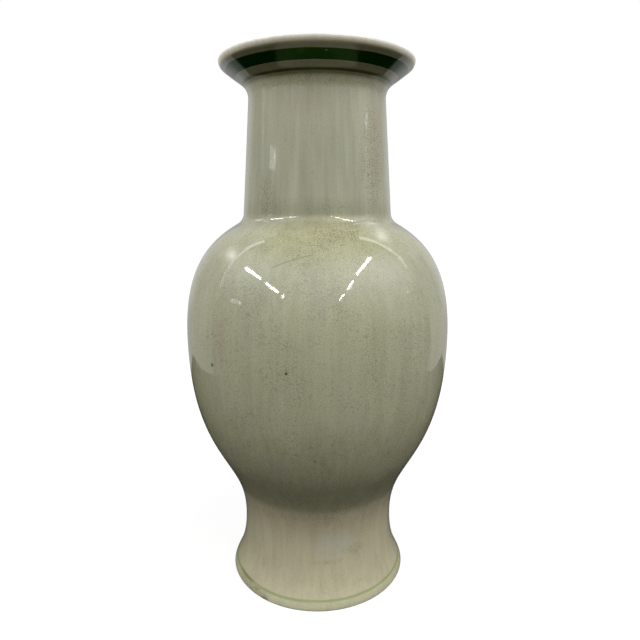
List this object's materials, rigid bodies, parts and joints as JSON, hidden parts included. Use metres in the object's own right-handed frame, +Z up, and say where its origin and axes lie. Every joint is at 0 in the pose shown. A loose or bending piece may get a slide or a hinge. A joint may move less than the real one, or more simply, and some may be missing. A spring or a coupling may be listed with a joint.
{
  "type": "baluster vase",
  "caption": "Tall porcelain baluster vase with a spreading foot, a full belly, a straight neck and a flared mouth, in crackled grey-green glaze with green enamel lines.",
  "frame": {"origin": "centre of the standing edge, on the surface that the vase stands on", "axes": "+Z up along the vase's axis, from the foot to the mouth; +X and +Y are any two square directions, because the vase is turned"},
  "size_m": [0.204, 0.204, 0.4],
  "materials": {
    "crackle_glaze": "glossy grey-green celadon glaze with a fine crackle net",
    "bare_porcelain": "glazed outside, bare and smooth on the standing edge",
    "luting_slip": "matt dried slip, fired",
    "dark_green_enamel": "glossy dark green enamel",
    "pale_green_enamel": "glossy thin pale green enamel"
  },
  "bodies": {
    "root": {"foot_ring": "bare_porcelain", "base_slab": "crackle_glaze", "foot_wall": "crackle_glaze", "lower_body": "crackle_glaze", "upper_body": "crackle_glaze", "neck": "crackle_glaze", "mouth": "crackle_glaze", "waist_slip": "luting_slip", "belly_slip": "luting_slip", "shoulder_slip": "luting_slip", "throat_slip": "luting_slip", "mouth_band": "dark_green_enamel", "mouth_line": "dark_green_enamel", "foot_line": "pale_green_enamel"}
  },
  "joints": []
}
